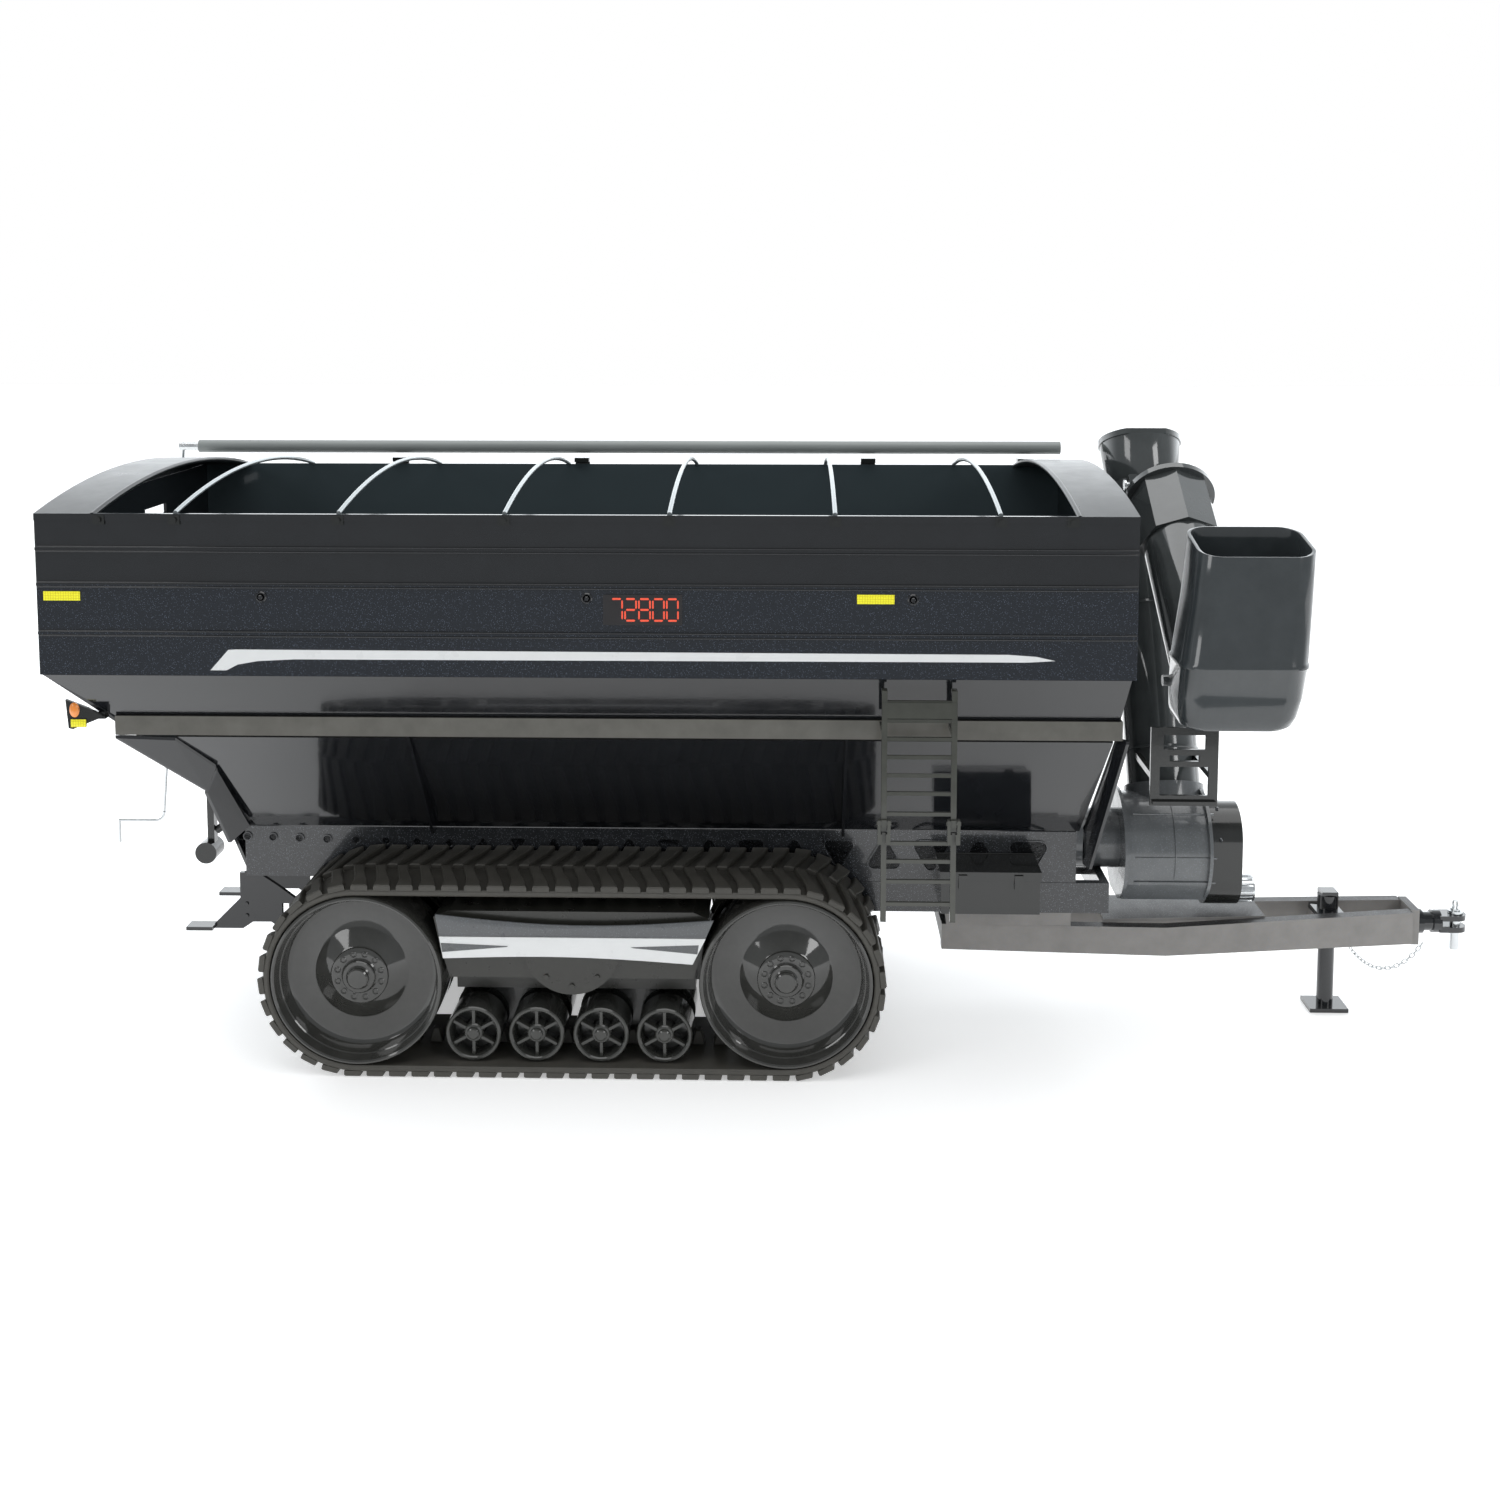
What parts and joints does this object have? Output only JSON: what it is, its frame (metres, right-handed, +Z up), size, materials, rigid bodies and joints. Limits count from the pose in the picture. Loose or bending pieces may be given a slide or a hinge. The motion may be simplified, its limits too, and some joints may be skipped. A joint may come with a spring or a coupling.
{
  "type": "grain cart",
  "caption": "Tracked grain cart model: sloped hopper bin with tarp bows, folding corner auger with spout, belted track units, tongue with clevis and jack.",
  "frame": {"origin": "centre of the whole cart's footprint, on the surface the belts stand on", "axes": "+X towards the hitch, +Y to the cart's left side, +Z up"},
  "size_m": [0.7198, 0.2325, 0.2843],
  "materials": {
    "belt_rubber": "dark grey satin rubber",
    "black_plastic": "gloss black moulding",
    "bright_steel": "plain bright wire and shafts",
    "display_black": "black display panel with red digits",
    "flake_black": "dark metallic flake lacquer",
    "gloss_black": "gloss black lacquer",
    "tarp_vinyl": "rolled black tarp",
    "white_vinyl": "silver-white decal",
    "yellow_vinyl": "yellow reflective decal"
  },
  "bodies": {
    "chassis": {"side_panels": "gloss_black", "hopper_sheets": "gloss_black", "end_walls": "gloss_black", "end_caps": "gloss_black", "side_sills": "gloss_black", "end_frames": "gloss_black", "chassis_frame": "flake_black", "tarp_bows": "bright_steel", "rim_clips": "black_plastic", "side_stripes": "white_vinyl", "reflectors": "yellow_vinyl", "weigh_display": "display_black", "rear_lamps": "black_plastic", "ladder_upper": "black_plastic", "toolbox_base": "black_plastic", "tongue": "flake_black", "jack_housing": "gloss_black", "safety_chain": "bright_steel", "auger_boot": "flake_black", "drive_cover": "black_plastic", "lower_tube": "black_plastic", "hinge_pin": "bright_steel", "auger_rest": "black_plastic", "rear_hitch": "gloss_black", "rear_bracket": "black_plastic", "cross_axle": "bright_steel"},
    "lower_ladder": {"ladder_lower": "black_plastic"},
    "toolbox_lid": {"toolbox_lid": "black_plastic"},
    "jack_leg": {"jack_leg": "gloss_black"},
    "clevis": {"hitch_clevis": "gloss_black"},
    "hitch_pin": {"hitch_pin": "bright_steel"},
    "pto_input": {"pto_shaft": "bright_steel"},
    "floor_auger": {"floor_auger": "bright_steel"},
    "lower_screw": {"lower_screw": "bright_steel"},
    "upper_auger": {"upper_tube": "black_plastic"},
    "upper_screw": {"upper_screw": "bright_steel"},
    "spout": {"spout": "black_plastic"},
    "flow_gate": {"flow_gate": "bright_steel"},
    "tarp": {"tarp_roll": "tarp_vinyl", "tarp_crank": "bright_steel"},
    "track_right": {"track_frame_right": "black_plastic", "belt_right": "belt_rubber"},
    "wheel_front_right": {"wheel_front_right": "black_plastic"},
    "wheel_rear_right": {"wheel_rear_right": "black_plastic"},
    "bogie_rear_right": {"bogie_rear_right": "black_plastic"},
    "roller_1_right": {"roller_1_right": "black_plastic"},
    "roller_2_right": {"roller_2_right": "black_plastic"},
    "bogie_front_right": {"bogie_front_right": "black_plastic"},
    "roller_3_right": {"roller_3_right": "black_plastic"},
    "roller_4_right": {"roller_4_right": "black_plastic"},
    "track_left": {"track_frame_left": "black_plastic", "belt_left": "belt_rubber"},
    "wheel_front_left": {"wheel_front_left": "black_plastic"},
    "wheel_rear_left": {"wheel_rear_left": "black_plastic"},
    "bogie_rear_left": {"bogie_rear_left": "black_plastic"},
    "roller_1_left": {"roller_1_left": "black_plastic"},
    "roller_2_left": {"roller_2_left": "black_plastic"},
    "bogie_front_left": {"bogie_front_left": "black_plastic"},
    "roller_3_left": {"roller_3_left": "black_plastic"},
    "roller_4_left": {"roller_4_left": "black_plastic"}
  },
  "joints": [
    {"name": "ladder_fold", "type": "hinge", "parent": "chassis", "child": "lower_ladder", "pos_m": [0.082, -0.1117, 0.128], "axis": [1, 0, 0], "range_deg": [-150, 0]},
    {"name": "toolbox_lid_hinge", "type": "hinge", "parent": "chassis", "child": "toolbox_lid", "pos_m": [0.12, -0.0302, 0.0873], "axis": [1, 0, 0], "range_deg": [-55, 0]},
    {"name": "jack_slide", "type": "slide", "parent": "chassis", "child": "jack_leg", "axis": [0, 0, 1], "range_m": [0, 0.014]},
    {"name": "clevis_swivel", "type": "hinge", "parent": "chassis", "child": "clevis", "pos_m": [0.34, 0, 0.0445], "axis": [1, 0, 0], "range_deg": [-25, 25]},
    {"name": "hitch_pin_pull", "type": "slide", "parent": "clevis", "child": "hitch_pin", "axis": [0, 0, 1], "range_m": [0, 0.03]},
    {"name": "floor_auger_spin", "type": "hinge", "parent": "chassis", "child": "floor_auger", "pos_m": [0, 0, 0.086], "axis": [1, 0, 0], "continuous": true},
    {"name": "pto_spin", "type": "hinge", "parent": "chassis", "child": "pto_input", "pos_m": [0.248, 0, 0.0606], "axis": [1, 0, 0], "continuous": true},
    {"name": "lower_screw_spin", "type": "hinge", "parent": "chassis", "child": "lower_screw", "pos_m": [0.214, 0, 0.084], "axis": [0, 0.4226, 0.9063], "continuous": true},
    {"name": "auger_fold", "type": "hinge", "parent": "chassis", "child": "upper_auger", "pos_m": [0.214, 0.0548, 0.25595], "axis": [1, 0, 0], "range_deg": [-150.5, 0]},
    {"name": "upper_screw_spin", "type": "hinge", "parent": "upper_auger", "child": "upper_screw", "pos_m": [0.214, 0.01458, 0.25551], "axis": [0, -0.8141, -0.5807], "continuous": true},
    {"name": "spout_tilt", "type": "hinge", "parent": "upper_auger", "child": "spout", "pos_m": [0.214, -0.08425, 0.18501], "axis": [1, 0, 0], "range_deg": [-8, 15]},
    {"name": "flow_gate_slide", "type": "slide", "parent": "chassis", "child": "flow_gate", "axis": [1, 0, 0], "range_m": [-0.12, 0]},
    {"name": "tarp_roll_spin", "type": "hinge", "parent": "chassis", "child": "tarp", "pos_m": [-0.3, 0.111, 0.27], "axis": [1, 0, 0], "continuous": true},
    {"name": "track_right_rock", "type": "hinge", "parent": "chassis", "child": "track_right", "pos_m": [-0.072, -0.0595, 0.061], "axis": [0, 1, 0], "range_deg": [-4, 4]},
    {"name": "wheel_front_right_spin", "type": "hinge", "parent": "track_right", "child": "wheel_front_right", "pos_m": [0.025, -0.0595, 0.045], "axis": [0, 1, 0], "continuous": true},
    {"name": "wheel_rear_right_spin", "type": "hinge", "parent": "track_right", "child": "wheel_rear_right", "pos_m": [-0.17, -0.0595, 0.045], "axis": [0, 1, 0], "continuous": true},
    {"name": "bogie_rear_right_rock", "type": "hinge", "parent": "track_right", "child": "bogie_rear_right", "pos_m": [-0.1035, -0.0595, 0.037], "axis": [0, 1, 0], "range_deg": [-2, 2]},
    {"name": "roller_1_right_spin", "type": "hinge", "parent": "bogie_rear_right", "child": "roller_1_right", "pos_m": [-0.118, -0.0595, 0.0185], "axis": [0, 1, 0], "continuous": true},
    {"name": "roller_2_right_spin", "type": "hinge", "parent": "bogie_rear_right", "child": "roller_2_right", "pos_m": [-0.089, -0.0595, 0.0185], "axis": [0, 1, 0], "continuous": true},
    {"name": "bogie_front_right_rock", "type": "hinge", "parent": "track_right", "child": "bogie_front_right", "pos_m": [-0.045, -0.0595, 0.037], "axis": [0, 1, 0], "range_deg": [-2, 2]},
    {"name": "roller_3_right_spin", "type": "hinge", "parent": "bogie_front_right", "child": "roller_3_right", "pos_m": [-0.0595, -0.0595, 0.0185], "axis": [0, 1, 0], "continuous": true},
    {"name": "roller_4_right_spin", "type": "hinge", "parent": "bogie_front_right", "child": "roller_4_right", "pos_m": [-0.0305, -0.0595, 0.0185], "axis": [0, 1, 0], "continuous": true},
    {"name": "track_left_rock", "type": "hinge", "parent": "chassis", "child": "track_left", "pos_m": [-0.072, 0.0595, 0.061], "axis": [0, 1, 0], "range_deg": [-4, 4]},
    {"name": "wheel_front_left_spin", "type": "hinge", "parent": "track_left", "child": "wheel_front_left", "pos_m": [0.025, 0.0595, 0.045], "axis": [0, 1, 0], "continuous": true},
    {"name": "wheel_rear_left_spin", "type": "hinge", "parent": "track_left", "child": "wheel_rear_left", "pos_m": [-0.17, 0.0595, 0.045], "axis": [0, 1, 0], "continuous": true},
    {"name": "bogie_rear_left_rock", "type": "hinge", "parent": "track_left", "child": "bogie_rear_left", "pos_m": [-0.1035, 0.0595, 0.037], "axis": [0, 1, 0], "range_deg": [-2, 2]},
    {"name": "roller_1_left_spin", "type": "hinge", "parent": "bogie_rear_left", "child": "roller_1_left", "pos_m": [-0.118, 0.0595, 0.0185], "axis": [0, 1, 0], "continuous": true},
    {"name": "roller_2_left_spin", "type": "hinge", "parent": "bogie_rear_left", "child": "roller_2_left", "pos_m": [-0.089, 0.0595, 0.0185], "axis": [0, 1, 0], "continuous": true},
    {"name": "bogie_front_left_rock", "type": "hinge", "parent": "track_left", "child": "bogie_front_left", "pos_m": [-0.045, 0.0595, 0.037], "axis": [0, 1, 0], "range_deg": [-2, 2]},
    {"name": "roller_3_left_spin", "type": "hinge", "parent": "bogie_front_left", "child": "roller_3_left", "pos_m": [-0.0595, 0.0595, 0.0185], "axis": [0, 1, 0], "continuous": true},
    {"name": "roller_4_left_spin", "type": "hinge", "parent": "bogie_front_left", "child": "roller_4_left", "pos_m": [-0.0305, 0.0595, 0.0185], "axis": [0, 1, 0], "continuous": true}
  ],
  "couplings": [
    {"joint": "pto_spin", "follows": "floor_auger_spin", "ratio": 2.5},
    {"joint": "lower_screw_spin", "follows": "floor_auger_spin", "ratio": 1},
    {"joint": "wheel_rear_right_spin", "follows": "wheel_front_right_spin", "ratio": 1},
    {"joint": "roller_1_right_spin", "follows": "wheel_front_right_spin", "ratio": 3.1024},
    {"joint": "roller_2_right_spin", "follows": "wheel_front_right_spin", "ratio": 3.1024},
    {"joint": "roller_3_right_spin", "follows": "wheel_front_right_spin", "ratio": 3.1024},
    {"joint": "roller_4_right_spin", "follows": "wheel_front_right_spin", "ratio": 3.1024},
    {"joint": "wheel_rear_left_spin", "follows": "wheel_front_left_spin", "ratio": 1},
    {"joint": "roller_1_left_spin", "follows": "wheel_front_left_spin", "ratio": 3.1024},
    {"joint": "roller_2_left_spin", "follows": "wheel_front_left_spin", "ratio": 3.1024},
    {"joint": "roller_3_left_spin", "follows": "wheel_front_left_spin", "ratio": 3.1024},
    {"joint": "roller_4_left_spin", "follows": "wheel_front_left_spin", "ratio": 3.1024}
  ]
}
